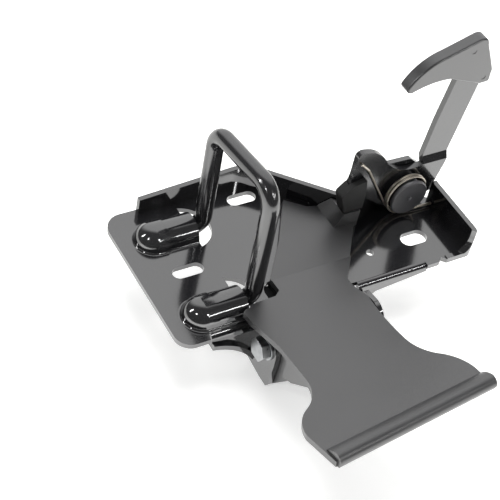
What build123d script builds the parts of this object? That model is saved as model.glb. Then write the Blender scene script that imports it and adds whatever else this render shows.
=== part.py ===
from build123d import *
from math import atan2, cos, degrees, pi, radians, sin
import os

# Bonnet striker plate with a spring-loaded safety catch and its release paddle.
#
# A pressed steel base plate carries a welded striker bail, a hooked safety catch that turns on a
# headed pin, and a moulded paddle hinged between two ears at the plate's front edge. Pressing the
# paddle's outer end down lifts the block on its inner arm, which lifts the catch's tail and swings
# the hook to the right.
#
# Frame: millimetres, +X along the plate, +Y to the back, +Z up. The origin lies on the mounting
# face (the plate's underside), midway between the two legs of the bail.

os.makedirs("parts", exist_ok=True)

# ---------------------------------------------------------------- driving dimensions

# Base plate
sheet = 2.4
left_reach = 40.8  # bail plane to the plate's left edge
right_reach = 113.1  # bail plane to the outside of the right flange
back_reach = 42.0  # origin to the outside of the back flange
front_reach = 37.1  # origin to the outside of the left front flange
right_front_reach = 35.7  # origin to the outside of the right front flange
diagonal_reach = 73.1  # x + y on the outside of the diagonal flange
wall_back = 7.5  # outside of the wall that carries the catch
flange_height = 14.8  # back and diagonal flanges, from the mounting face
right_flange_height = 14.1
wall_height = 30.4  # wall that carries the catch, from the mounting face
left_bend_radius = 5.5  # outside radius of the left front fold
right_bend_radius = 3.2  # outside radius of the right front fold

# Striker bail
rod_radius = 4.0
leg_spacing = 47.0
front_corner_height = 66.3  # rod centre above the mounting face at the front leg
back_corner_height = 59.1
bail_bend = 9.0
foot_bend = 6.0
foot_shift = 1.3  # the feet stand this much nearer the front than the upper bail
tunnel_length = 19.0
tunnel_radius = 6.05  # inside of the arch, which touches the rod along its top
tunnel_flare = 1.2
nose_swell = 0.5  # the tunnel's nose stands this much proud of the rest
nose_length = 4.5
weld_gap = 0.05

# Hinge
hinge_y = -46.1
hinge_z = -4.1
hinge_pin_radius = 3.0
ear_radius = 8.0
left_ear = -3.0  # outside of the left ear
right_ear = 50.0  # inside of the right ear
ear_drop = 24.4
ear_lip = 2.0  # the left flange's lower edge is turned out this far
running_fit = 0.05  # radial, a pin in its hole
side_gap = 0.3

# Release paddle
paddle_tilt = 10.0
panel_thickness = 2.8
panel_lift = 14.5  # hinge axis to the panel's top, straight above the hinge
arm_thickness = 2.8
arm_gap = 0.3  # arm above the plate
lug_width = 6.0
block_height = 7.0
block_front = -2.0
skirt_thickness = 2.6

# Safety catch
pivot_x = 93.3
pivot_z = 14.6
pivot_radius = 5.0
lever_thickness = 3.0
lever_gap = 0.3  # lever to the wall behind it
joggle = 2.2
cap_wall = 1.5
cap_fit = 0.1
pin_head_radius = 9.7
pin_head_thickness = 1.6
spool_radius = 8.2
tail_gap = 0.3  # tail pad above the paddle's block
pad_wall = 2.2

# Catch spring
wire_radius = 0.62
coil_radius = 10.5
spring_gap = 0.12

# ---------------------------------------------------------------- derived places

bar = 300.0  # longer than the whole part, for cuts that run right through
wall_front = wall_back - sheet
lever_back = wall_front - lever_gap
lever_front = lever_back - lever_thickness
arm_front = lever_front + joggle
left_ear_inner = left_ear + sheet
right_ear_outer = right_ear + sheet
tunnel_axis = 2 * rod_radius + weld_gap - tunnel_radius  # centre of the arch above the mounting face
crown_radius = tunnel_radius + sheet
nut_height = 5.0
right_lug = right_ear - nut_height - side_gap  # outside of the paddle's right lug
front_foot = -leg_spacing / 2 - foot_shift
back_foot = leg_spacing / 2 - foot_shift
tunnel_start = 0.5 - foot_bend
nose_x = tunnel_start - tunnel_length


def outline(points, plane):
    """A closed face with straight sides on the given plane."""
    with BuildSketch(plane) as face:
        with BuildLine():
            Polyline(*points, close=True)
        make_face()
    return face.sketch


def upright_edge(part, x, y):
    """The vertical edge of a part that lies nearest to x, y."""
    return part.edges().filter_by(Axis.Z).sort_by_distance((x, y, 0))[0]


def front_angle(x, reach, bend_radius):
    """Section of a front flange folded down from the plate, on the plane at x."""
    with BuildSketch(Plane.YZ.offset(x)) as section:
        with BuildLine() as middle:
            Polyline(
                (-reach + bend_radius, sheet / 2),
                (-reach + sheet / 2, sheet / 2),
                (-reach + sheet / 2, -ear_drop),
            )
            fold = middle.vertices().sort_by_distance((-reach + sheet / 2, sheet / 2))[0]
            fillet(fold, radius=bend_radius - sheet / 2 - 0.01)
        trace(line_width=sheet)
    return section.sketch


def tunnel_section(plane, y, swell):
    """Arch pressed up over a rod that lies at y, with its flared foot on the plate's top."""
    radius = crown_radius + swell
    flare_height = sheet + tunnel_flare
    flare_reach = ((radius + tunnel_flare) ** 2 - (flare_height - tunnel_axis) ** 2) ** 0.5
    tangent = degrees(atan2(flare_height - tunnel_axis, flare_reach))
    with BuildSketch(plane) as section:
        with BuildLine():
            CenterArc((y, tunnel_axis), radius, tangent, 180 - 2 * tangent)
            left = CenterArc((y - flare_reach, flare_height), tunnel_flare, -tangent, tangent - 90)
            right = CenterArc((y + flare_reach, flare_height), tunnel_flare, 180 + tangent, 90 - tangent)
            Polyline(left @ 1, (y - flare_reach, sheet / 2), (y + flare_reach, sheet / 2), right @ 1)
        make_face()
    return section.sketch


def channel_section(plane, y):
    """Inside of the same arch, open downwards."""
    with BuildSketch(plane) as section:
        with BuildLine():
            arch = CenterArc((y, tunnel_axis), tunnel_radius, 0, 180)
            Polyline(arch @ 1, (y - tunnel_radius, -1), (y + tunnel_radius, -1), arch @ 0)
        make_face()
    return section.sketch


def right_half(section, plane, y):
    """The part of a section that lies beyond y, to be turned into the tunnel's round nose."""
    return section & outline([(y, -bar), (y + bar, -bar), (y + bar, bar), (y, bar)], plane)


# ---------------------------------------------------------------- base plate

slot_1 = (-18.1, 0.2)
slot_2 = (26.0, 32.1)
slot_3 = (90.3, -18.4)
strip_start = -23.5
strip_end = 104.0
strip_corner = 16.0
wall_corner = 7.0
spine_back = back_reach - sheet / 2
spine_wall = wall_back - sheet / 2
spine_diagonal = diagonal_reach - sheet / 2 * 2**0.5
front_edge = -front_reach - 1.5
relief_x = -25.0
notch = 2.2  # half width of the V between the right front flange and the corner
right_flange_end = 87.0
side_flange_back = 1.3
plate_corner = 4.0
corner_start = 98.0
lip_top = sheet + 0.5

with BuildPart() as base_plate:
    # Blank, out to the outside of the upright flanges and to the start of the front folds
    with BuildSketch(Plane.XY):
        with BuildLine():
            Polyline(
                (-left_reach, front_edge),
                (-left_reach, back_reach),
                (diagonal_reach - back_reach, back_reach),
                (diagonal_reach - wall_back, wall_back),
                (strip_end, wall_back),
                (right_reach, side_flange_back),
                (right_reach, -right_front_reach),
                (corner_start, -right_front_reach),
                (corner_start - notch, -right_front_reach + notch),
                (corner_start - 2 * notch, -right_front_reach),
                (right_flange_end, -right_front_reach),
                (right_flange_end, -right_front_reach + right_bend_radius),
                (right_ear, -right_front_reach + right_bend_radius),
                (left_ear_inner, -front_reach + left_bend_radius),
                (relief_x, -front_reach + left_bend_radius),
                (relief_x - 2.0, front_edge),
                close=True,
            )
        make_face()
    extrude(amount=sheet)
    fillet(upright_edge(base_plate, -left_reach, back_reach), radius=9.0)
    fillet(upright_edge(base_plate, -left_reach, front_edge), radius=7.5)
    fillet(upright_edge(base_plate, right_reach, -right_front_reach), radius=plate_corner)
    fillet(
        upright_edge(base_plate, diagonal_reach - back_reach, back_reach),
        radius=strip_corner + sheet / 2,
    )
    fillet(
        upright_edge(base_plate, diagonal_reach - wall_back, wall_back),
        radius=wall_corner - sheet / 2,
    )

    # Cut-out between the ears, under the paddle's shoulder
    cutout_left = 7.6
    cutout_right = 47.0
    cutout_back = -18.1
    with BuildSketch(Plane.XY):
        with Locations(((cutout_left + cutout_right) / 2, cutout_back - bar / 2)):
            RectangleRounded(cutout_right - cutout_left, bar, 6.0)
    extrude(amount=sheet, mode=Mode.SUBTRACT)

    # Back flange, diagonal flange and catch wall: one strip folded up from the edge
    with BuildSketch(Plane.XY):
        with BuildLine() as strip_line:
            Polyline(
                (strip_start, spine_back),
                (spine_diagonal - spine_back, spine_back),
                (spine_diagonal - spine_wall, spine_wall),
                (strip_end, spine_wall),
            )
            corners = strip_line.vertices().sort_by(Axis.X)
            fillet(corners[1], radius=strip_corner)
            corners = strip_line.vertices().sort_by_distance((spine_diagonal - spine_wall, spine_wall))
            fillet(corners[0], radius=wall_corner)
        trace(line_width=sheet)
    extrude(amount=wall_height)
    strip_top = [
        (strip_start - 1, flange_height),
        (70.0, flange_height),
        (82.0, wall_height),
        (96.5, wall_height - 0.6),
        (100.0, pivot_z + 12.1),
        (102.1, pivot_z + 10.7),
        (strip_end + 1, pivot_z + 7.4),
        (strip_end + 1, wall_height + 1),
        (strip_start - 1, wall_height + 1),
    ]
    extrude(outline(strip_top, Plane.XZ), amount=bar, both=True, mode=Mode.SUBTRACT)

    # Right flange, running out round the front corner
    with BuildSketch(Plane.XY):
        with BuildLine() as side_line:
            Polyline(
                (right_reach - sheet / 2, side_flange_back),
                (right_reach - sheet / 2, -right_front_reach + sheet / 2),
                (corner_start, -right_front_reach + sheet / 2),
            )
            corner = (right_reach - sheet / 2, -right_front_reach + sheet / 2)
            fillet(side_line.vertices().sort_by_distance(corner)[0], radius=plate_corner - sheet / 2)
        trace(line_width=sheet)
    extrude(amount=right_flange_height)
    corner_plane = Plane((right_reach, -right_front_reach, 0), x_dir=(-1, -1, 0), z_dir=(-1, 1, 0))
    with BuildSketch(corner_plane):
        with BuildLine():
            run_out = ThreePointArc((-0.2, right_flange_height), (1.0, 8.0), (3.8, lip_top))
            Polyline(
                run_out @ 1,
                (12.0, lip_top),
                (12.0, right_flange_height + 1),
                (-0.2, right_flange_height + 1),
                run_out @ 0,
            )
        make_face()
    extrude(amount=20.0, both=True, mode=Mode.SUBTRACT)

    # Left front flange: an angle section cut off along a curve that sweeps down to the left ear
    extrude(
        front_angle(relief_x, front_reach, left_bend_radius),
        amount=left_ear_inner - relief_x,
    )
    ear_middle = left_ear + sheet / 2
    lip_drop = ThreePointArc((relief_x, -3.9), (-11.2, -10.3), (ear_middle, -20.6))
    with BuildSketch(Plane.XZ):
        with BuildLine():
            add(lip_drop)
            Polyline(lip_drop @ 1, (ear_middle, -bar), (relief_x, -bar), lip_drop @ 0)
        make_face()
    extrude(amount=bar, mode=Mode.SUBTRACT)
    # Its lower edge is turned out into a narrow lip that grows into the ear
    with BuildSketch(Plane.XZ.offset(front_reach - sheet)):
        with BuildLine():
            add(lip_drop)
            Line(lip_drop @ 1, (ear_middle, -ear_drop + 1.6))
        trace(line_width=sheet)
    extrude(amount=sheet + ear_lip)

    # Right front flange, shallow along the plate and deep at the right ear
    extrude(
        front_angle(right_ear, right_front_reach, right_bend_radius),
        amount=right_flange_end - right_ear,
    )
    with BuildSketch(Plane.XZ):
        with BuildLine():
            rise = ThreePointArc((right_ear_outer, -ear_drop), (54.6, -11.0), (60.0, -4.4))
            Polyline(
                rise @ 1,
                (right_flange_end, -1.3),
                (right_flange_end + 1, -bar),
                (right_ear_outer, -bar),
                rise @ 0,
            )
        make_face()
    extrude(amount=bar, mode=Mode.SUBTRACT)

    # Ears of the hinge, folded forward from the front flanges
    for ear_x, ear_root in ((left_ear, -front_reach), (right_ear, -right_front_reach)):
        with BuildSketch(Plane.YZ.offset(ear_x)):
            with BuildLine():
                nose = ThreePointArc(
                    (hinge_y - ear_radius, hinge_z),
                    (hinge_y - ear_radius * cos(pi / 4), hinge_z + ear_radius * sin(pi / 4)),
                    (hinge_y, hinge_z + ear_radius),
                )
                Polyline(
                    nose @ 1,
                    (ear_root - 3.0, hinge_z + ear_radius - 1.2),
                    (ear_root + sheet, -left_bend_radius),
                    (ear_root + sheet, -ear_drop + 1.6),
                    (hinge_y, -ear_drop),
                    (hinge_y - 5.6, -ear_drop),
                    (hinge_y - 7.0, -ear_drop + 2.2),
                    (hinge_y - ear_radius, hinge_z - 5.0),
                    nose @ 0,
                )
            make_face()
        extrude(amount=sheet)
    with BuildSketch(Plane.YZ.offset(left_ear - 1)):
        with Locations((hinge_y, hinge_z)):
            Circle(hinge_pin_radius + running_fit)
    extrude(amount=bar, mode=Mode.SUBTRACT)

    # Arched tunnels over the bail's feet, each closed by a slightly swollen round nose at the left
    nose_plane = Plane.YZ.offset(nose_x)
    for leg_y in (front_foot, back_foot):
        nose_axis = Axis((nose_x, leg_y, 0), (0, 0, 1))
        extrude(tunnel_section(nose_plane, leg_y, 0), amount=tunnel_length)
        swollen = tunnel_section(nose_plane, leg_y, nose_swell)
        extrude(swollen, amount=nose_length)
        revolve(right_half(swollen, nose_plane, leg_y), axis=nose_axis, revolution_arc=180)
    for leg_y in (front_foot, back_foot):
        nose_axis = Axis((nose_x, leg_y, 0), (0, 0, 1))
        channel = channel_section(nose_plane, leg_y)
        extrude(channel, amount=tunnel_length, mode=Mode.SUBTRACT)
        revolve(
            right_half(channel, nose_plane, leg_y),
            axis=nose_axis,
            revolution_arc=180,
            mode=Mode.SUBTRACT,
        )
    # Round-ended windows at the open ends, which the rod turns up through
    for leg_y, near, middle_x, middle_y, far in (
        (front_foot, -6.2, 3.3, 3.3, 15.9),
        (back_foot, -11.2, 4.4, 1.4, 14.1),
    ):
        with BuildSketch(Plane.XY):
            with BuildLine():
                window_end = ThreePointArc(
                    (tunnel_start, leg_y + near),
                    (middle_x, leg_y + middle_y),
                    (tunnel_start, leg_y + far),
                )
                Line(window_end @ 1, window_end @ 0)
            make_face()
        extrude(amount=sheet, mode=Mode.SUBTRACT)

    # Adjusting slots, a small pilot hole and the hole for the catch's pin
    with BuildSketch(Plane.XY):
        with Locations(slot_1):
            SlotOverall(15.0, 6.6)
        with Locations(slot_2):
            SlotOverall(14.6, 6.6)
        with Locations(slot_3):
            SlotOverall(13.6, 8.0)
        with Locations((65.6, -19.2)):
            Circle(1.9)
    extrude(amount=sheet, mode=Mode.SUBTRACT)
    with BuildSketch(Plane.XZ.offset(-wall_back - 1)):
        with Locations((pivot_x, pivot_z)):
            Circle(pivot_radius + running_fit)
    extrude(amount=sheet + 2, mode=Mode.SUBTRACT)
base_plate.part.label = "base_plate"
export_step(base_plate.part, "parts/base_plate.step")


# ---------------------------------------------------------------- striker bail

with BuildPart() as striker_bail:
    with BuildLine() as rod_line:
        FilletPolyline(
            (nose_x, front_foot, rod_radius),
            (0, front_foot, rod_radius),
            (0, -leg_spacing / 2, front_corner_height),
            (0, leg_spacing / 2, back_corner_height),
            (0, back_foot, rod_radius),
            (nose_x, back_foot, rod_radius),
            radius=(foot_bend, bail_bend, bail_bend, foot_bend),
        )
    with BuildSketch(Plane(rod_line.wire() @ 0, z_dir=rod_line.wire() % 0)):
        Circle(rod_radius)
    sweep(path=rod_line.wire())
striker_bail.part.label = "striker_bail"
export_step(striker_bail.part, "parts/striker_bail.step")


# ---------------------------------------------------------------- release paddle

slope = radians(paddle_tilt)
# The panel is drawn on its top: local x along the hinge, local y outwards from over the hinge
panel_top = Plane(
    origin=(0, hinge_y, hinge_z + panel_lift),
    x_dir=(1, 0, 0),
    z_dir=(0, -sin(slope), -cos(slope)),
)
arm_bottom = sheet + arm_gap
arm_top = arm_bottom + arm_thickness
block_top = arm_top + block_height
panel_left = -7.6
panel_right = 43.4
lip_left = (-21.6, 72.4)
lip_right = (59.4, 62.6)
lip_width = 9.0
lip_height = 2.9
lip_overhang = 1.0
lip_angle = atan2(lip_right[1] - lip_left[1], lip_right[0] - lip_left[0])
skirt_start = 20.0  # outward from the hinge
skirt_end = 38.0
skirt_depth = 15.0

with BuildPart() as release_paddle:
    # Pressed panel, waisted between the hinge and the lip
    with BuildSketch(panel_top):
        with BuildLine():
            left_cheek = Line((-9.8, -12.2), (-10.0, -5.6))
            left_shoulder = ThreePointArc(left_cheek @ 1, (-8.5, 4.4), (panel_left + 0.3, 14.0))
            left_waist = Line(left_shoulder @ 1, (panel_left - 0.2, 36.0))
            left_hollow = ThreePointArc(left_waist @ 1, (-10.6, 44.4), (-17.0, 50.3))
            left_wing = ThreePointArc(left_hollow @ 1, (-22.2, 55.6), (-24.2, 62.6))
            left_end = Line(left_wing @ 1, (-21.5, 79.6))
            outer_end = Line(left_end @ 1, (60.0, 69.8))
            right_end = Line(outer_end @ 1, (59.5, 59.0))
            right_wing = ThreePointArc(right_end @ 1, (56.9, 51.8), (50.5, 45.0))
            right_hollow = ThreePointArc(right_wing @ 1, (45.6, 39.0), (panel_right, 31.5))
            right_waist = ThreePointArc(right_hollow @ 1, (panel_right - 0.2, 17.0), (44.9, 1.0))
            right_cheek = Line(right_waist @ 1, (42.6, -8.4))
            Polyline(
                right_cheek @ 1,
                (43.4, -13.0),
                (53.4, -25.8),
                (12.0, -25.8),
                (11.5, -18.5),
                (8.1, -15.8),
                (-4.9, -15.2),
                (-5.3, -13.6),
                (-8.0, -13.4),
                left_cheek @ 0,
            )
        make_face()
    extrude(amount=panel_thickness)

    # Inner arm, lying just above the plate, out to the block under the catch's tail
    arm_points = [
        (12.0, -22.6),
        (12.0, -19.4),
        (13.3, -17.9),
        (27.6, 0.0),
        (42.2, 21.9),
        (50.8, 14.3),
        (55.5, 13.2),
        (diagonal_reach - sheet * 2**0.5 - 0.7 - 6.2, 6.2),
        (64.8, wall_front - 0.5),
        (68.5, wall_front - 0.5),
        (68.5, block_front),
        (66.3, block_front - 0.4),
        (52.2, -21.6),
        (50.0, -24.4),
    ]
    extrude(outline(arm_points, Plane.XY.offset(arm_bottom)), amount=arm_thickness)

    # Block: sloped at the left, upright at the front
    block_section = [
        (55.5, arm_top),
        (59.5, block_top),
        (68.5, block_top),
        (68.5, arm_top),
    ]
    block_depth = 15.0
    extrude(outline(block_section, Plane.XZ.offset(-block_front)), amount=-block_depth)
    flange_side = [
        (diagonal_reach - sheet * 2**0.5 - 0.7 - 20.0, 20.0),
        (diagonal_reach - sheet * 2**0.5 - 0.7 - wall_front + 0.5, wall_front - 0.5),
        (90.0, wall_front - 0.5),
        (90.0, 20.0),
    ]
    extrude(outline(flange_side, Plane.XY), amount=bar, mode=Mode.SUBTRACT)

    # Rolled lip along the outer end
    lip_plane = Plane(
        origin=panel_top.from_local_coords((*lip_left, 0)),
        x_dir=panel_top.from_local_coords((-sin(lip_angle), cos(lip_angle), 0))
        - panel_top.from_local_coords((0, 0, 0)),
        z_dir=panel_top.from_local_coords((cos(lip_angle), sin(lip_angle), 0))
        - panel_top.from_local_coords((0, 0, 0)),
    )
    lip_length = ((lip_right[0] - lip_left[0]) ** 2 + (lip_right[1] - lip_left[1]) ** 2) ** 0.5
    with BuildSketch(lip_plane):
        with BuildLine():
            rise = ThreePointArc((0, 0), (2.6, -1.9), (5.4, -lip_height))
            roll = ThreePointArc(rise @ 1, (8.2, -1.6), (lip_width, 1.0))
            Polyline(roll @ 1, (lip_width - 0.8, panel_thickness), (0, panel_thickness), rise @ 0)
        make_face()
    extrude(amount=lip_length + lip_overhang)

    # Lugs that turn on the hinge bolt, between the ears
    lug_points = [
        (-34.0, 3.0),
        (hinge_y + 8.5, hinge_z + 4.0),
        (hinge_y + 8.5, hinge_z - 6.0),
        (hinge_y + 3.0, -24.4),
        (hinge_y - 5.6, -24.4),
        (hinge_y - 14.4, -12.4),
        (hinge_y - 21.0, -3.0),
        (hinge_y - 21.0, hinge_z + panel_lift + 1.6),
        (hinge_y, hinge_z + panel_lift - 1.4),
        (-34.0, 6.0),
    ]
    for lug_x in (left_ear_inner + side_gap, right_lug - lug_width):
        extrude(outline(lug_points, Plane.YZ.offset(lug_x)), amount=lug_width)

    # Side skirts below the waist, tied to the lugs by a cross web
    for skirt_x in (panel_left + 0.2, panel_right - 0.2 - skirt_thickness):
        skirt_points = [
            (hinge_y - skirt_start, hinge_z + panel_lift + 1.5),
            (hinge_y - skirt_start, hinge_z + 5.0),
            (hinge_y - skirt_start - 6.0, hinge_z + 7.6),
            (hinge_y - skirt_end, hinge_z + panel_lift + 4.0),
        ]
        extrude(outline(skirt_points, Plane.YZ.offset(skirt_x)), amount=skirt_thickness)
    with BuildSketch(Plane.XY.offset(hinge_z + 5.0)):
        with Locations(((panel_left + panel_right) / 2, hinge_y - skirt_start - 1.0)):
            Rectangle(panel_right - panel_left - 0.4, 2.0)
    extrude(amount=panel_lift - 5.0)

    # Bore of the hinge
    with BuildSketch(Plane.YZ.offset(left_ear)):
        with Locations((hinge_y, hinge_z)):
            Circle(hinge_pin_radius + running_fit)
    extrude(amount=bar, mode=Mode.SUBTRACT)
release_paddle.part.label = "release_paddle"
export_step(release_paddle.part, "parts/release_paddle.step")


# ---------------------------------------------------------------- safety catch

# Outline of the stamped lever, seen from the front: x, z
ear_left = 62.2
lobe_radius = 18.6
lobe_z = 26.7
hub_radius = 11.6
joggle_start = 27.4
joggle_end = 30.6
pad_bottom = block_top + tail_gap
tail_bottom = pad_bottom + pad_wall


def head_outline(plane, shrink):
    """Hook head on the given plane, drawn in by the given amount."""
    with BuildSketch(plane) as head:
        with BuildLine():
            back = ThreePointArc((79.5, 76.9), (86.0, 85.6), (96.8, 91.2))
            crest = Line(back @ 1, (112.2, 96.6))
            brow = ThreePointArc(crest @ 1, (116.4, 96.4), (118.4, 93.2))
            heel = Polyline(brow @ 1, (125.6, 77.6), (125.7, 70.6), (120.5, 70.2), (102.2, 77.5))
            under = ThreePointArc(heel @ 1, (92.6, 77.3), (83.4, 74.8))
            ThreePointArc(under @ 1, (80.6, 75.1), back @ 0)
        make_face()
        if shrink:
            offset(amount=-shrink)
    return head.sketch


with BuildPart() as catch_lever:
    # Arm and steel core of the hook, stepped back over the catch wall
    arm_outline = [
        (101.5, 26.0),
        (102.9, 40.0),
        (104.0, 51.5),
        (108.4, 80.0),
        (123.1, 80.0),
        (115.2, 26.0),
    ]
    extrude(outline(arm_outline, Plane.XZ), amount=-bar / 2)
    extrude(head_outline(Plane.XZ, cap_wall + cap_fit), amount=-bar / 2)
    side_section = [
        (lever_front, 0),
        (lever_front, joggle_start),
        (arm_front, joggle_end),
        (arm_front, 120.0),
        (arm_front + lever_thickness, 120.0),
        (arm_front + lever_thickness, joggle_end - 0.4),
        (lever_back, joggle_start - 0.4),
        (lever_back, 0),
    ]
    extrude(outline(side_section, Plane.YZ.offset(40.0)), amount=100.0, mode=Mode.INTERSECT)
    # Ear, saddle and hub in front of the wall
    with BuildSketch(Plane.XZ.offset(-lever_front)):
        with BuildLine():
            lobe = CenterArc((ear_left + 1.1, lobe_z), lobe_radius, 84, -58)
            saddle = ThreePointArc(lobe @ 1, (88.6, 28.2), (101.6, joggle_start))
            right_side = Polyline(
                saddle @ 1,
                (115.4, joggle_start),
                (115.2, 25.6),
                (112.0, 12.4),
                (111.3, 8.2),
                (pivot_x + 4.4, pivot_z - hub_radius + 0.9),
            )
            hub_arc = ThreePointArc(
                right_side @ 1,
                (pivot_x, pivot_z - hub_radius),
                (pivot_x - 7.0, pivot_z - hub_radius + 2.35),
            )
            left_side = Polyline(
                hub_arc @ 1,
                (73.0, tail_bottom),
                (62.0, tail_bottom),
                (59.2, 22.4),
                (ear_left - 0.4, 29.0),
                (ear_left, 33.0),
                (ear_left, lobe_z + lobe_radius - 3.1),
            )
            ThreePointArc(left_side @ 1, (ear_left + 0.9, lobe_z + lobe_radius - 0.9), lobe @ 0)
        make_face()
    extrude(amount=-lever_thickness)
    with BuildSketch(Plane.XZ):
        with Locations((pivot_x, pivot_z)):
            Circle(pivot_radius + running_fit)
    extrude(amount=bar, both=True, mode=Mode.SUBTRACT)
    with BuildSketch(Plane.XZ):
        with Locations((66.0, 20.0)):
            Circle(2.1)
    extrude(amount=bar, both=True, mode=Mode.SUBTRACT)
catch_lever.part.label = "catch_lever"
export_step(catch_lever.part, "parts/catch_lever.step")

# Moulded cap over the steel hook
cap_front = arm_front - cap_fit - cap_wall
cap_depth = lever_thickness + 2 * (cap_fit + cap_wall)
with BuildPart() as hook_cap:
    extrude(head_outline(Plane.XZ.offset(-cap_front), 0), amount=-cap_depth)
    fillet(hook_cap.faces().filter_by(Axis.Y).edges(), radius=1.0)
    pocket_plane = Plane.XZ.offset(-arm_front + cap_fit)
    pocket_depth = lever_thickness + 2 * cap_fit
    extrude(head_outline(pocket_plane, cap_wall), amount=-pocket_depth, mode=Mode.SUBTRACT)
    mouth = [(104.8, 60.0), (108.2, 82.0), (123.5, 80.0), (120.6, 60.0)]
    extrude(outline(mouth, pocket_plane), amount=-pocket_depth, mode=Mode.SUBTRACT)
hook_cap.part.label = "hook_cap"
export_step(hook_cap.part, "parts/hook_cap.step")

# Pad pushed over the lever's tail, held by a peg; it rests on the paddle's block
pad_front = block_front + 0.7
with BuildPart() as tail_pad:
    pad_points = [
        (59.6, pad_bottom),
        (56.6, 22.6),
        (57.0, 24.0),
        (61.5, 28.4),
        (68.4, 30.2),
        (69.8, 22.0),
        (69.8, pad_bottom),
    ]
    extrude(outline(pad_points, Plane.XZ.offset(-pad_front)), amount=-(lever_back - pad_front))
    socket_points = [
        (61.8, tail_bottom - cap_fit),
        (58.9, 22.5),
        (60.5, 27.0),
        (61.7, 29.6),
        (66.0, bar),
        (bar, bar),
        (bar, tail_bottom - cap_fit),
    ]
    socket_plane = Plane.XZ.offset(-lever_front + cap_fit)
    extrude(outline(socket_points, socket_plane), amount=-bar, mode=Mode.SUBTRACT)
    with BuildSketch(socket_plane):
        with Locations((66.0, 20.0)):
            Circle(2.0)
    extrude(amount=-lever_thickness - cap_fit)
tail_pad.part.label = "tail_pad"
export_step(tail_pad.part, "parts/tail_pad.step")


# ---------------------------------------------------------------- pin, spool and spring

head_front = -5.0
head_back = head_front + pin_head_thickness
with BuildPart() as pivot_pin:
    with BuildSketch(Plane.YZ.offset(pivot_x)):
        with BuildLine():
            Polyline(
                (head_front + 0.3, pivot_z),
                (head_front + 0.3, pivot_z + 1.0),
                (head_front, pivot_z + 1.3),
                (head_front, pivot_z + pin_head_radius - 0.4),
                (head_front + 0.4, pivot_z + pin_head_radius),
                (head_back, pivot_z + pin_head_radius),
                (head_back, pivot_z + pivot_radius),
                (wall_back, pivot_z + pivot_radius),
                (wall_back, pivot_z + pivot_radius + 2.4),
                (wall_back + 1.0, pivot_z + pivot_radius + 2.0),
                (wall_back + 1.8, pivot_z + pivot_radius - 0.5),
                (wall_back + 1.8, pivot_z),
                close=True,
            )
        make_face()
    revolve(axis=Axis((pivot_x, 0, pivot_z), (0, 1, 0)))
pivot_pin.part.label = "pivot_pin"
export_step(pivot_pin.part, "parts/pivot_pin.step")

with BuildPart() as spring_spool:
    with BuildSketch(Plane.XZ.offset(-head_back)):
        with Locations((pivot_x, pivot_z)):
            Circle(spool_radius)
            Circle(pivot_radius + running_fit, mode=Mode.SUBTRACT)
    extrude(amount=-(lever_front - running_fit - head_back))
spring_spool.part.label = "spring_spool"
export_step(spring_spool.part, "parts/spring_spool.step")

first_turn = head_back + wire_radius + spring_gap
leg_drift = 0.6  # the leg leans back this far to bear on the lever with its tip
last_turn = lever_front - wire_radius - spring_gap - leg_drift
coil_turns = 2 + 59.4 / 360
with BuildPart() as catch_spring:
    coil_plane = Plane(origin=(pivot_x, first_turn, pivot_z), x_dir=(0, 0, -1), z_dir=(0, 1, 0))
    coil_height = last_turn - first_turn
    with BuildLine() as spring_line:
        turns = Helix(coil_height / coil_turns, coil_height, coil_radius, mode=Mode.PRIVATE)
        add(coil_plane * turns)
        coil = spring_line.wire()
        # Leg on the lever's ear, bent over at its tip
        leg_knee = coil @ 1 + (coil % 1) * 29.2
        leg_tip = leg_knee + Vector(-5.0, 0, 5.0)
        FilletPolyline(coil @ 1, leg_knee, leg_tip, radius=2.5)
        # Leg against the right flange
        foot_length = right_reach - sheet - wire_radius - spring_gap - pivot_x
        foot_end = coil @ 0 - (coil % 0) * foot_length
        Line(foot_end, coil @ 0)
    spring_wire = spring_line.wire()
    with BuildSketch(Plane(spring_wire @ 0, z_dir=spring_wire % 0)):
        Circle(wire_radius)
    sweep(path=spring_wire, is_frenet=True)
catch_spring.part.label = "catch_spring"
export_step(catch_spring.part, "parts/catch_spring.step")


# ---------------------------------------------------------------- hinge hardware

head_flats = 10.0
head_height = 4.0
washer_thickness = 1.0
bolt_head_x = left_ear - washer_thickness
nut_x = right_ear - nut_height
bolt_end = right_ear_outer + 0.5
with BuildPart() as hinge_bolt:
    with BuildSketch(Plane.YZ.offset(bolt_head_x - head_height)):
        with Locations((hinge_y, hinge_z)):
            RegularPolygon(radius=head_flats / 3**0.5, side_count=6)
    extrude(amount=head_height)
    with BuildSketch(Plane.YZ.offset(bolt_head_x)):
        with Locations((hinge_y, hinge_z)):
            Circle(hinge_pin_radius)
    extrude(amount=bolt_end - bolt_head_x)
hinge_bolt.part.label = "hinge_bolt"
export_step(hinge_bolt.part, "parts/hinge_bolt.step")

with BuildPart() as hinge_nut:
    with BuildSketch(Plane.YZ.offset(nut_x)):
        with Locations((hinge_y, hinge_z)):
            RegularPolygon(radius=head_flats / 3**0.5, side_count=6)
            Circle(hinge_pin_radius + running_fit, mode=Mode.SUBTRACT)
    extrude(amount=nut_height)
hinge_nut.part.label = "hinge_nut"
export_step(hinge_nut.part, "parts/hinge_nut.step")

with BuildPart() as head_washer:
    with BuildSketch(Plane.YZ.offset(bolt_head_x)):
        with Locations((hinge_y, hinge_z)):
            Circle(6.0)
            Circle(hinge_pin_radius + 0.2, mode=Mode.SUBTRACT)
    extrude(amount=washer_thickness)
head_washer.part.label = "head_washer"
export_step(head_washer.part, "parts/head_washer.step")
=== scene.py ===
"""Visual model of a bonnet striker plate with a sprung safety catch and its release paddle.

The plate, bail and catch are steel in a black electrocoat, glossy on the plate and satin on the
other two. The paddle is moulded nylon, the hook's cap acetal and the pad on the catch's tail
nitrile rubber. The spring is bare wire; the hinge bolt and its washer are zinc plated.
"""

import logging
import math
from collections.abc import Callable
from dataclasses import dataclass, field
from enum import Enum

import bpy
from mathutils import Matrix, Vector

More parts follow.
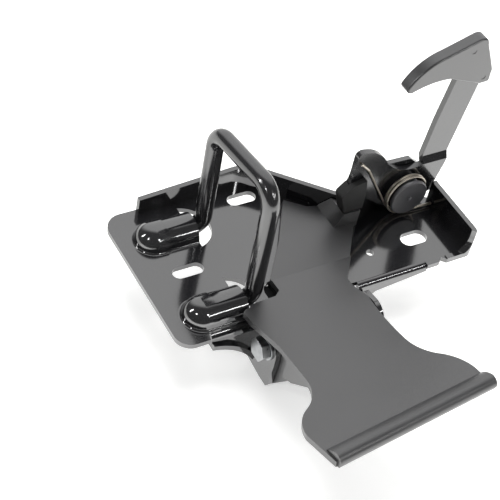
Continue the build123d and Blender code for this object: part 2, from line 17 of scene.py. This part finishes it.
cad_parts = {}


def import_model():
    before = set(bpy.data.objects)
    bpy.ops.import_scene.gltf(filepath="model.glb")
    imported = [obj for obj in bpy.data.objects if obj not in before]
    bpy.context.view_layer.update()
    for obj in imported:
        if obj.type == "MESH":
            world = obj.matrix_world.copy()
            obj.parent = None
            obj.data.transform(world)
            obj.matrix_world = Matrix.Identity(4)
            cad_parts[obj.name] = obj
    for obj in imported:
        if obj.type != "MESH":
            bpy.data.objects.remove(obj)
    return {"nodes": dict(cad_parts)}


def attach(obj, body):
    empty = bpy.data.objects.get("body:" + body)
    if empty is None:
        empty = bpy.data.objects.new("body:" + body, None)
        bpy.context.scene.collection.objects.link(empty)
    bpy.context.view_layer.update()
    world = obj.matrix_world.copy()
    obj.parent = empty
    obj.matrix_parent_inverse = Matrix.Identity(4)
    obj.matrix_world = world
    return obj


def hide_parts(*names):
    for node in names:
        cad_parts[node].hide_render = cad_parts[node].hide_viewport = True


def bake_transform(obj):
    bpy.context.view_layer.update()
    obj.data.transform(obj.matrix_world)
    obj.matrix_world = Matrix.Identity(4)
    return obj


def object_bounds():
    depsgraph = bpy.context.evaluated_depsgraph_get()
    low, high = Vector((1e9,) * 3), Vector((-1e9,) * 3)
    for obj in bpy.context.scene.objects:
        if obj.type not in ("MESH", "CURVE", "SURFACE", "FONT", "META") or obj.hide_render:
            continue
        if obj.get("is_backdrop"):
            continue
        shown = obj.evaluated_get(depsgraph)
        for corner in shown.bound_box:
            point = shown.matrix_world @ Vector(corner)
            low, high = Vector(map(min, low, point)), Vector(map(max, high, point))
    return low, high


MM = 0.001
# A CAD node's loose triangles are merged this near, and its flat faces are then made whole
MERGE_MM = 0.002
FLAT_DEG = 0.4
# A face counts as looking one way when the cosine to it is above this
SAME_WAY = 0.9
log = logging.getLogger("striker_plate")


class Body(Enum):
    """Moving bodies of the mechanism."""

    BASE = "base"
    CATCH = "catch"
    PADDLE = "paddle"


def linear(hex_colour: str) -> tuple[float, float, float, float]:
    """Turns an sRGB hex colour into linear RGBA.

    Args:
        hex_colour: Six hex digits with a leading hash.

    Returns:
        The linear colour with an alpha of one.
    """
    channels = [int(hex_colour[i : i + 2], 16) / 255 for i in (1, 3, 5)]
    values = [c / 12.92 if c <= 0.04045 else ((c + 0.055) / 1.055) ** 2.4 for c in channels]
    return (*values, 1.0)


def add_node(
    tree: bpy.types.NodeTree,
    kind: str,
    inputs: dict[str | int, object] | None = None,
    **settings: object,
) -> bpy.types.Node:
    """Adds a shader node with its settings, input values and links.

    Args:
        tree: Node tree that takes the node.
        kind: Type name of the node.
        inputs: Values or output sockets for the node's inputs, by name or index.
        **settings: Properties of the node.

    Returns:
        The new node.
    """
    node = tree.nodes.new(kind)
    for name, value in settings.items():
        setattr(node, name, value)
    for key, value in (inputs or {}).items():
        if isinstance(value, bpy.types.NodeSocket):
            tree.links.new(value, node.inputs[key])
        else:
            node.inputs[key].default_value = value
    return node


def colour_ramp(
    tree: bpy.types.NodeTree,
    factor: bpy.types.NodeSocket,
    stops: list[tuple[float, tuple[float, float, float, float]]],
) -> bpy.types.NodeSocket:
    """Maps a factor to colours through a ramp.

    Args:
        tree: Node tree that takes the ramp.
        factor: Socket that drives it.
        stops: Two pairs of position and colour.

    Returns:
        The ramp's colour output.
    """
    ramp = add_node(tree, "ShaderNodeValToRGB", {"Fac": factor})
    for element, (position, colour) in zip(ramp.color_ramp.elements, stops):
        element.position = position
        element.color = colour
    return ramp.outputs["Color"]


# Noise gathers round a half, so the patches run from dark to light between these values
PATCH_LOW, PATCH_HIGH = 0.3, 0.7


@dataclass(frozen=True)
class Finish:
    """A surface finish with mottled colour, uneven gloss and a fine relief.

    A coat's index of refraction is set above the resin's own, to give its clear gloss full depth.

    Attributes:
        name: Plain name of the material and its process.
        dark: sRGB colour of the darker patches.
        light: sRGB colour of the lighter patches.
        metallic: Share of bare metal.
        ior: Index of refraction of the surface.
        gloss: Lowest and highest roughness.
        patch_mm: Size of the colour and gloss patches.
        grain_mm: Size of the relief's grains.
        relief_mm: Depth of the relief.
    """

    name: str
    dark: str
    light: str
    metallic: float
    ior: float
    gloss: tuple[float, float]
    patch_mm: float
    grain_mm: float
    relief_mm: float

    def material(self) -> bpy.types.Material:
        """Builds the material the first time it is asked for.

        Returns:
            The material.
        """
        known = bpy.data.materials.get(self.name)
        if known:
            return known
        made = bpy.data.materials.new(self.name)
        made.use_nodes = True
        tree = made.node_tree
        tree.nodes.clear()
        place = add_node(tree, "ShaderNodeTexCoord").outputs["Object"]
        patches = add_node(
            tree,
            "ShaderNodeTexNoise",
            {"Vector": place, "Scale": 1 / (self.patch_mm * MM), "Detail": 4.0, "Roughness": 0.55},
        ).outputs["Fac"]
        colour = colour_ramp(
            tree,
            patches,
            [(PATCH_LOW, linear(self.dark)), (PATCH_HIGH, linear(self.light))],
        )
        smoothest, roughest = self.gloss
        rough = add_node(
            tree,
            "ShaderNodeMapRange",
            {
                "Value": patches,
                "From Min": PATCH_LOW,
                "From Max": PATCH_HIGH,
                "To Min": smoothest,
                "To Max": roughest,
            },
        ).outputs["Result"]
        shader = add_node(
            tree,
            "ShaderNodeBsdfPrincipled",
            {
                "Base Color": colour,
                "Metallic": self.metallic,
                "Roughness": rough,
                "IOR": self.ior,
                "Normal": self.relief(tree, place),
            },
        )
        add_node(tree, "ShaderNodeOutputMaterial", {"Surface": shader.outputs["BSDF"]})
        return made

    def relief(self, tree: bpy.types.NodeTree, place: bpy.types.NodeSocket) -> bpy.types.NodeSocket:
        """Fine relief of the finish.

        Args:
            tree: Node tree of the material.
            place: Object coordinates.

        Returns:
            The bumped normal.
        """
        grain = add_node(
            tree,
            "ShaderNodeTexNoise",
            {"Vector": place, "Scale": 1 / (self.grain_mm * MM), "Detail": 2.0},
        ).outputs["Fac"]
        bump = add_node(
            tree,
            "ShaderNodeBump",
            {"Height": grain, "Distance": self.relief_mm * MM, "Strength": 1.0},
        )
        return bump.outputs["Normal"]


# Electrocoat flows out to a deep gloss with a faint orange peel over the pressed sheet
ELECTROCOAT = Finish(
    "electrocoat_gloss_black", "#151517", "#1b1b1d", 0.0, 2.3, (0.08, 0.13), 30.0, 1.8, 0.0025
)
# The bail and the catch are coated over shot-blasted bar and plate, which leaves a satin gloss
SATIN_COAT = Finish(
    "electrocoat_satin_black", "#161618", "#1d1d1f", 0.0, 2.0, (0.15, 0.2), 18.0, 1.2, 0.0006
)
# Manganese phosphate and oil leave the turned pin a dull charcoal
PHOSPHATE = Finish(
    "phosphated_pin_charcoal", "#3e3e41", "#4a4a4d", 0.0, 1.8, (0.34, 0.44), 4.0, 0.4, 0.004
)
# Glass-filled nylon takes a satin spark-eroded grain from its mould
NYLON = Finish(
    "nylon_moulded_satin", "#252526", "#2c2c2d", 0.0, 1.95, (0.36, 0.44), 22.0, 0.5, 0.02
)
# Near-black, dull nylon that paints the shade of the hollow under the paddle's arm, in the plate's
# cut-out
PAINTED_SHADE_NYLON = Finish(
    "nylon_painted_shade", "#0e0e0f", "#131314", 0.0, 1.35, (0.7, 0.82), 22.0, 0.5, 0.01
)
# The hook's cap is a plainer, slightly paler acetal moulding
ACETAL = Finish(
    "acetal_moulded_cap", "#2c2c2d", "#333334", 0.0, 1.92, (0.28, 0.36), 12.0, 0.5, 0.012
)
# Nitrile rubber is dull and slightly dusty
NITRILE = Finish(
    "nitrile_rubber_dull", "#1b1b1b", "#262626", 0.0, 1.5, (0.6, 0.75), 5.0, 0.4, 0.02
)
# Hard-drawn spring wire is bright with fine die marks
SPRING_WIRE = Finish(
    "spring_wire_drawn", "#a39a8c", "#c9c3b8", 1.0, 1.5, (0.3, 0.42), 3.0, 0.25, 0.0008
)
# Zinc plate is bright and slightly clouded
ZINC = Finish(
    "zinc_plated_steel", "#8e9092", "#b4b6b6", 1.0, 1.5, (0.26, 0.4), 4.0, 0.3, 0.006
)

# No sharp edge shows on these two, so the CAD's own shape is only dressed
NODE_FINISHES = {
    "striker_bail": SATIN_COAT,
    "spring_spool": ACETAL,
}


def dress(piece: bpy.types.Object, finish: Finish) -> None:
    """Gives a piece one finish all over."""
    piece.data.materials.clear()
    piece.data.materials.append(finish.material())


def deselect() -> None:
    """Leaves nothing selected and no mesh in edit mode."""
    if bpy.context.object and bpy.context.object.mode != "OBJECT":
        bpy.ops.object.mode_set(mode="OBJECT")
    bpy.ops.object.select_all(action="DESELECT")


def activate(piece: bpy.types.Object) -> None:
    """Makes a piece the only selected and active object."""
    deselect()
    piece.select_set(True)
    bpy.context.view_layer.objects.active = piece


def settle() -> bpy.types.Object:
    """Puts a new primitive's place, turn and size into its mesh.

    Returns:
        The primitive, with its object at the origin.
    """
    bpy.ops.object.transform_apply(location=True, rotation=True, scale=True)
    return bpy.context.object


def select_faces(
    piece: bpy.types.Object, normal: Vector, keep: Callable[[Vector], bool]
) -> None:
    """Enters edit mode with only some of the faces that look one way selected.

    Args:
        piece: Piece to work on.
        normal: The way the faces look.
        keep: Says of a face's centre whether the face is wanted.
    """
    activate(piece)
    bpy.ops.object.mode_set(mode="EDIT")
    bpy.ops.mesh.select_mode(type="FACE")
    bpy.ops.mesh.select_all(action="DESELECT")
    bpy.ops.object.mode_set(mode="OBJECT")
    for face in piece.data.polygons:
        face.select = face.normal.dot(normal) > SAME_WAY and keep(face.center)
    bpy.ops.object.mode_set(mode="EDIT")


def cut_away(piece: bpy.types.Object, cutter: bpy.types.Object) -> None:
    """Takes a cutter's volume out of a piece and removes the cutter.

    Args:
        piece: Piece that is cut.
        cutter: Closed solid in the shape of the cut.
    """
    activate(piece)
    cut = piece.modifiers.new("cut_away", "BOOLEAN")
    cut.operation = "DIFFERENCE"
    cut.object = cutter
    bpy.ops.object.modifier_apply(modifier=cut.name)
    bpy.data.objects.remove(cutter)
    activate(piece)


def soften(
    piece: bpy.types.Object, edge_mm: float, segments: int, sharp_deg: float, smooth_deg: float
) -> None:
    """Rounds a piece's sharp edges and keeps its flat faces flat to the light.

    Args:
        piece: Piece in object mode.
        edge_mm: Width of the rounded edges.
        segments: Faces across each rounded edge.
        sharp_deg: Edges sharper than this are rounded.
        smooth_deg: Edges flatter than this are shaded smooth.
    """
    activate(piece)
    rounding = piece.modifiers.new("rounded_edges", "BEVEL")
    rounding.limit_method = "ANGLE"
    rounding.angle_limit = math.radians(sharp_deg)
    rounding.width = edge_mm * MM
    rounding.segments = segments
    rounding.use_clamp_overlap = True
    bpy.ops.object.modifier_apply(modifier=rounding.name)
    bpy.ops.object.shade_smooth_by_angle(angle=math.radians(smooth_deg))
    shading = piece.modifiers.new("flat_faces_stay_flat", "WEIGHTED_NORMAL")
    shading.keep_sharp = True
    shading.weight = 100
    bpy.ops.object.modifier_apply(modifier=shading.name)


@dataclass
class SoftEdgedPiece:
    """A piece with its sharp edges rounded as pressing, coating or moulding leaves them.

    Attributes:
        node: CAD node that it stands for.
        name: Name of the piece.
        body: Moving body that it rides on.
        slot: Record's material slot; not used.
        finish: Finish all over.
        edge_mm: Width of the rounded edges.
        segments: Faces across each rounded edge.
        sharp_deg: Edges sharper than this are rounded.
        smooth_deg: Edges flatter than this are shaded smooth.
    """

    node: str
    name: str
    body: Body
    slot: str
    finish: Finish
    edge_mm: float
    segments: int = 3
    sharp_deg: float = 32.0
    smooth_deg: float = 38.0

    def build(self, nodes: dict[str, bpy.types.Object]) -> bpy.types.Object:
        """Args:
            nodes: CAD nodes by name.

        Returns:
            The finished piece.
        """
        piece = bpy.data.objects.new(self.name, nodes[self.node].data.copy())
        bpy.context.scene.collection.objects.link(piece)
        activate(piece)
        bpy.ops.object.mode_set(mode="EDIT")
        bpy.ops.mesh.select_all(action="SELECT")
        bpy.ops.mesh.remove_doubles(threshold=MERGE_MM * MM)
        bpy.ops.mesh.customdata_custom_splitnormals_clear()
        bpy.ops.mesh.dissolve_limited(angle_limit=math.radians(FLAT_DEG))
        bpy.ops.object.mode_set(mode="OBJECT")
        self.shape(piece)
        soften(piece, self.edge_mm, self.segments, self.sharp_deg, self.smooth_deg)
        dress(piece, self.finish)
        self.carry(piece)
        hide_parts(self.node)
        return piece

    def shape(self, piece: bpy.types.Object) -> None:
        """Adds what the plain copy lacks; most pieces need nothing."""

    def carry(self, piece: bpy.types.Object) -> None:
        """Fixes the piece to the body that moves it."""
        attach(piece, self.body.value)


@dataclass
class WoundSpring(SoftEdgedPiece):
    """The catch's torsion spring, whose foot rests on the plate and whose leg bears on the lever.

    The piece is baked in place and rides no moving body, so its coil does not wind up as the catch
    turns.

    Attributes:
        foot_end_mm: Where the foot leaves the coil; not used.
        leg_end_mm: Where the leg leaves the coil; not used.
    """

    foot_end_mm: tuple[float, float, float] = (93.3, 0.0, 4.1)
    leg_end_mm: tuple[float, float, float] = (84.26, 0.0, 9.26)

    def carry(self, piece: bpy.types.Object) -> None:
        """Bakes the piece's place into its mesh and fixes it to no body."""
        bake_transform(piece)


@dataclass
class TaperFlangedPlate(SoftEdgedPiece):
    """The pressed plate, with its back flange trimmed lower towards the left end.

    Attributes:
        shear_middle_mm: Middle of what is sheared off above the flange.
        shear_size_mm: Its size along X, Y and Z.
        shear_slope_deg: Slope of the flange's top, rising to the right.
    """

    shear_middle_mm: tuple[float, float, float] = (4.5, 42.0, 16.5)
    shear_size_mm: tuple[float, float, float] = (66.0, 8.0, 8.0)
    shear_slope_deg: float = 4.4

    def shape(self, piece: bpy.types.Object) -> None:
        """Shears the top of the back flange to its slope.

        Args:
            piece: The merged copy, active and in object mode.
        """
        deselect()
        bpy.ops.mesh.primitive_cube_add(
            size=1.0,
            location=Vector(self.shear_middle_mm) * MM,
            rotation=(0.0, -math.radians(self.shear_slope_deg), 0.0),
            scale=Vector(self.shear_size_mm) * MM,
        )
        cut_away(piece, settle())


@dataclass
class DimpledCap(SoftEdgedPiece):
    """The hook's moulded cap, with the round marks that the mould's ejectors leave on its front.

    Attributes:
        marks_mm: X and Z of each mark.
        front_mm: Y of the cap's front.
        mark_radius_mm: Radius of a mark.
        mark_depth_mm: Depth of a mark.
        mark_sides: Sides of the polygon that stands for a mark's circle.
    """

    marks_mm: tuple[tuple[float, float], ...] = ((121.3, 74.2), (110.8, 91.0))
    front_mm: float = 2.4
    mark_radius_mm: float = 1.25
    mark_depth_mm: float = 0.18
    mark_sides: int = 28

    def shape(self, piece: bpy.types.Object) -> None:
        """Sinks the marks into the front.

        Args:
            piece: The merged copy, active and in object mode.
        """
        for x, z in self.marks_mm:
            deselect()
            bpy.ops.mesh.primitive_cylinder_add(
                vertices=self.mark_sides,
                radius=self.mark_radius_mm * MM,
                depth=2 * self.mark_depth_mm * MM,
                location=(x * MM, self.front_mm * MM, z * MM),
                rotation=(math.pi / 2, 0, 0),
            )
            cut_away(piece, settle())


@dataclass
class ArmShadeWeb:
    """Dark web below the left edge of the paddle's inner arm, with a foot turned outwards.

    It hangs in the plate's cut-out and swings up with the paddle. With its foot it closes off the
    floor seen through the cut-out, and its near-black finish is painted shade for the hollow under
    the arm. The web is clear of the plate, but the foot's back corner cuts into the sheet at the
    cut-out's rounded corner.

    Attributes:
        name: Name of the piece.
        left_mm: X of the web's left face.
        thickness_mm: Thickness of the web.
        front_mm: Y of its front end.
        back_mm: Y of its back end, just short of the cut-out's back.
        top_mm: Z of its top, sunk a little into the arm.
        depth_mm: How far it reaches down from its top.
        foot_mm: How far the foot stands out to the left.
        foot_top_mm: Z of the foot's top.
        foot_bottom_mm: Z of the foot's underside.
        edge_mm: Width of the rounded edges.
        segments: Faces across each rounded edge.
        sharp_deg: Edges sharper than this are rounded.
        smooth_deg: Edges flatter than this are shaded smooth.
    """

    name: str = "arm_shade_web"
    left_mm: float = 12.05
    thickness_mm: float = 2.4
    front_mm: float = -33.8
    back_mm: float = -18.75
    top_mm: float = 3.2
    depth_mm: float = 9.0
    foot_mm: float = 4.15
    foot_top_mm: float = 0.5
    foot_bottom_mm: float = -2.5
    edge_mm: float = 0.3
    segments: int = 3
    sharp_deg: float = 30.0
    smooth_deg: float = 38.0

    def build(self) -> bpy.types.Object:
        """Returns:
            The finished web.
        """
        deselect()
        centre = Vector(
            (
                self.left_mm + self.thickness_mm / 2,
                (self.front_mm + self.back_mm) / 2,
                self.top_mm - self.depth_mm / 2,
            )
        )
        size = Vector((self.thickness_mm, self.back_mm - self.front_mm, self.depth_mm))
        bpy.ops.mesh.primitive_cube_add(size=1.0, location=centre * MM, scale=size * MM)
        web = settle()
        web.name = self.name
        self.turn_foot(web)
        soften(web, self.edge_mm, self.segments, self.sharp_deg, self.smooth_deg)
        # Near-black finish: painted shade in the cut-out
        dress(web, PAINTED_SHADE_NYLON)
        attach(web, Body.PADDLE.value)
        return web

    def turn_foot(self, web: bpy.types.Object) -> None:
        """Cuts the left face into bands and extrudes one of them outwards as the foot.

        Args:
            web: The plain wall, active and in object mode.
        """
        bpy.ops.object.mode_set(mode="EDIT")
        for height in (self.foot_top_mm, self.foot_bottom_mm):
            bpy.ops.mesh.select_all(action="SELECT")
            bpy.ops.mesh.bisect(plane_co=(0, 0, height * MM), plane_no=(0, 0, 1))
        bpy.ops.object.mode_set(mode="OBJECT")
        top, bottom = self.foot_top_mm * MM, self.foot_bottom_mm * MM
        select_faces(web, Vector((-1, 0, 0)), lambda place: bottom < place.z < top)
        bpy.ops.mesh.extrude_region_move(
            TRANSFORM_OT_translate={"value": (-self.foot_mm * MM, 0, 0)}
        )
        bpy.ops.object.mode_set(mode="OBJECT")


@dataclass(frozen=True)
class Softbox:
    """A rectangular lamp that faces the object.

    Attributes:
        name: Name of the lamp.
        place: Its centre in metres.
        size: Its width and height in metres.
        power: Its power in watts.
        mirrored: Whether glossy surfaces show it.
    """

    name: str
    place: tuple[float, float, float]
    size: tuple[float, float]
    power: float
    mirrored: bool = True

    def build(self, target: Vector) -> None:
        """Adds the lamp, turned to the target.

        Args:
            target: Point that it faces.
        """
        bpy.ops.object.light_add(type="AREA", location=self.place)
        lamp = bpy.context.object
        lamp.name = self.name
        lamp.data.shape = "RECTANGLE"
        lamp.data.size, lamp.data.size_y = self.size
        lamp.data.energy = self.power
        lamp.visible_glossy = self.mirrored
        lamp.rotation_euler = (target - lamp.location).to_track_quat("-Z", "Y").to_euler()


SENSOR_MM = 36.0


@dataclass
class Studio:
    """Pale floor, soft lamps, bright surround and the camera.

    Attributes:
        floor_z: Height of the floor.
        target: Point that the lamps face.
        lens_mm: Focal length of the camera.
        floor_size: Length and width of the floor.
        floor_colour: sRGB colour of the floor's paper.
        floor_lift: Light added to the floor where the camera sees it, up to white.
        floor_mirror: Light that glossy faces find in the floor before the object.
        floor_mirror_back: The same behind the object.
        floor_fade: Y where the first of the two starts to give way, and where it has.
        surround_axis: Where the surround is brightest, seen from the object.
        surround_edge: Cosines to that axis at which the surround is dim and fully bright.
        surround_levels: Its dim and its bright level.
        camera_place: Place of the camera.
        camera_right: The way that the picture's right side looks.
        camera_down: The way that the picture's lower side looks.
        softboxes: The lamps.
    """

    floor_z: float
    target: Vector = field(default_factory=lambda: Vector((0.035, -0.03, 0.02)))
    lens_mm: float = 103.06
    floor_size: float = 6.0
    floor_colour: str = "#ececea"
    floor_lift: float = 0.55
    floor_mirror: float = 0.95
    floor_mirror_back: float = 0.1
    floor_fade: tuple[float, float] = (0.0, 0.08)
    surround_axis: tuple[float, float, float] = (0.42, 0.68, 0.60)
    surround_edge: tuple[float, float] = (0.55, 0.84)
    surround_levels: tuple[float, float] = (0.13, 1.2)
    camera_place: tuple[float, float, float] = (-0.2628, -0.3538, 0.4576)
    camera_right: tuple[float, float, float] = (0.866, -0.4753, 0.1554)
    camera_down: tuple[float, float, float] = (-0.2516, -0.6828, -0.6859)
    softboxes: tuple[Softbox, ...] = (
        Softbox("overhead_softbox", (0.30, 0.45, 0.95), (1.0, 1.0), 16.0, mirrored=False),
        Softbox("left_strip", (-0.75, 0.35, 0.5), (0.05, 0.35), 1.6),
        Softbox("front_lamp", (0.25, -0.75, 0.75), (0.07, 0.07), 0.8),
        Softbox("left_lamp", (-0.62, -0.2, 0.62), (0.07, 0.07), 0.8),
        Softbox("front_strip", (0.43, -0.68, 0.53), (0.45, 0.03), 0.9),
    )

    def build(self) -> None:
        """Builds the whole studio."""
        self.add_floor()
        self.add_surround()
        for softbox in self.softboxes:
            softbox.build(self.target)
        self.add_camera()

    def add_floor(self) -> None:
        """Adds a white floor that keeps the object's shadow, and that glows for glossy rays as a
        painted reflection.
        """
        bpy.ops.mesh.primitive_plane_add(size=self.floor_size, location=(0, 0, self.floor_z))
        floor = bpy.context.object
        floor.name = "studio_floor"
        made = bpy.data.materials.new("matt_white_paper")
        made.use_nodes = True
        tree = made.node_tree
        tree.nodes.clear()
        paper = add_node(tree, "ShaderNodeBsdfDiffuse", {"Color": linear(self.floor_colour)})
        seen = add_node(tree, "ShaderNodeLightPath")
        to_camera = add_node(
            tree,
            "ShaderNodeMath",
            {0: seen.outputs["Is Camera Ray"], 1: self.floor_lift},
            operation="MULTIPLY",
        )
        # Glossy rays see the floor glow, strongly before the object and faintly behind it, in
        # shadow or not: painted reflection
        place = add_node(tree, "ShaderNodeTexCoord").outputs["Object"]
        across = add_node(tree, "ShaderNodeSeparateXYZ", {"Vector": place})
        fade_start, fade_end = self.floor_fade
        mirrored = add_node(
            tree,
            "ShaderNodeMapRange",
            {
                "Value": across.outputs["Y"],
                "From Min": fade_start,
                "From Max": fade_end,
                "To Min": self.floor_mirror,
                "To Max": self.floor_mirror_back,
            },
            interpolation_type="SMOOTHSTEP",
        ).outputs["Result"]
        strength = add_node(
            tree,
            "ShaderNodeMath",
            {0: seen.outputs["Is Glossy Ray"], 1: mirrored, 2: to_camera.outputs[0]},
            operation="MULTIPLY_ADD",
        )
        glow = add_node(tree, "ShaderNodeEmission", {"Strength": strength.outputs[0]})
        both = add_node(
            tree, "ShaderNodeAddShader", {0: paper.outputs["BSDF"], 1: glow.outputs["Emission"]}
        )
        add_node(tree, "ShaderNodeOutputMaterial", {"Surface": both.outputs["Shader"]})
        floor.data.materials.append(made)
        floor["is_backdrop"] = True

    def add_surround(self) -> None:
        """Lights the surround from behind and above, and leaves the side by the camera dim."""
        world = bpy.data.worlds.new("studio_surround")
        world.use_nodes = True
        bpy.context.scene.world = world
        tree = world.node_tree
        tree.nodes.clear()
        place = add_node(tree, "ShaderNodeTexCoord").outputs["Generated"]
        towards = add_node(
            tree,
            "ShaderNodeVectorMath",
            {0: place, 1: self.surround_axis},
            operation="DOT_PRODUCT",
        ).outputs["Value"]
        dim_at, bright_at = self.surround_edge
        dim, bright = self.surround_levels
        level = add_node(
            tree,
            "ShaderNodeMapRange",
            {
                "Value": towards,
                "From Min": dim_at,
                "From Max": bright_at,
                "To Min": dim,
                "To Max": bright,
            },
            interpolation_type="SMOOTHSTEP",
        ).outputs["Result"]
        seen = add_node(tree, "ShaderNodeLightPath").outputs["Is Camera Ray"]
        strength = add_node(tree, "ShaderNodeMix", {"Factor": seen, "A": level, "B": 1.0})
        glow = add_node(
            tree,
            "ShaderNodeBackground",
            {"Color": linear("#ffffff"), "Strength": strength.outputs["Result"]},
        )
        add_node(tree, "ShaderNodeOutputWorld", {"Surface": glow.outputs["Background"]})

    def add_camera(self) -> None:
        """Adds the camera, turned so that its right and its down look as they should."""
        bpy.ops.object.camera_add()
        camera = bpy.context.object
        camera.name = "studio_camera"
        camera.data.lens = self.lens_mm
        camera.data.sensor_width = SENSOR_MM
        camera.data.sensor_fit = "HORIZONTAL"
        right = Vector(self.camera_right).normalized()
        up = -Vector(self.camera_down)
        up = (up - right * up.dot(right)).normalized()
        turned = Matrix((right, up, right.cross(up))).transposed()
        camera.matrix_world = Matrix.Translation(self.camera_place) @ turned.to_4x4()
        bpy.context.scene.camera = camera


# Node, name, body, slot, finish and width of the rounded edges
SOFT_EDGED = (
    TaperFlangedPlate("base_plate", "pressed_plate", Body.BASE, "coated_steel", ELECTROCOAT, 0.35),
    SoftEdgedPiece("catch_lever", "stamped_lever", Body.CATCH, "coated_steel", SATIN_COAT, 0.3),
    DimpledCap("hook_cap", "moulded_cap", Body.CATCH, "cap_plastic", ACETAL, 0.25),
    SoftEdgedPiece("tail_pad", "rubber_pad", Body.CATCH, "pad_rubber", NITRILE, 0.5),
    SoftEdgedPiece(
        "release_paddle", "moulded_paddle", Body.PADDLE, "paddle_plastic", NYLON, 0.8, 4
    ),
    SoftEdgedPiece("pivot_pin", "headed_pin", Body.BASE, "coated_steel", PHOSPHATE, 0.25),
    SoftEdgedPiece("hinge_bolt", "hex_head_bolt", Body.BASE, "zinc_steel", ZINC, 0.35),
    SoftEdgedPiece("head_washer", "plain_washer", Body.BASE, "zinc_steel", ZINC, 0.15),
    SoftEdgedPiece("hinge_nut", "hex_nut", Body.BASE, "coated_steel", ELECTROCOAT, 0.3),
    WoundSpring(
        "catch_spring", "torsion_spring", Body.BASE, "spring_steel", SPRING_WIRE, 0.1, 2, 75.0, 60.0
    ),
)


def main() -> None:
    """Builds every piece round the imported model."""
    logging.basicConfig(level=logging.INFO, format="%(name)s: %(message)s")
    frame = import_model()
    cad_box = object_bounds()
    nodes = frame["nodes"]
    for name, finish in NODE_FINISHES.items():
        dress(nodes[name], finish)
        log.info("dressed %s", name)
    for spec in SOFT_EDGED:
        piece = spec.build(nodes)
        log.info("built %s with %d faces", piece.name, len(piece.data.polygons))
    web = ArmShadeWeb().build()
    log.info("built %s with %d faces", web.name, len(web.data.polygons))
    deselect()
    Studio(floor_z=cad_box[0][2] - 0.05 * MM).build()
    bpy.context.scene.view_settings.view_transform = "Standard"


if __name__ == "__main__":
    main()
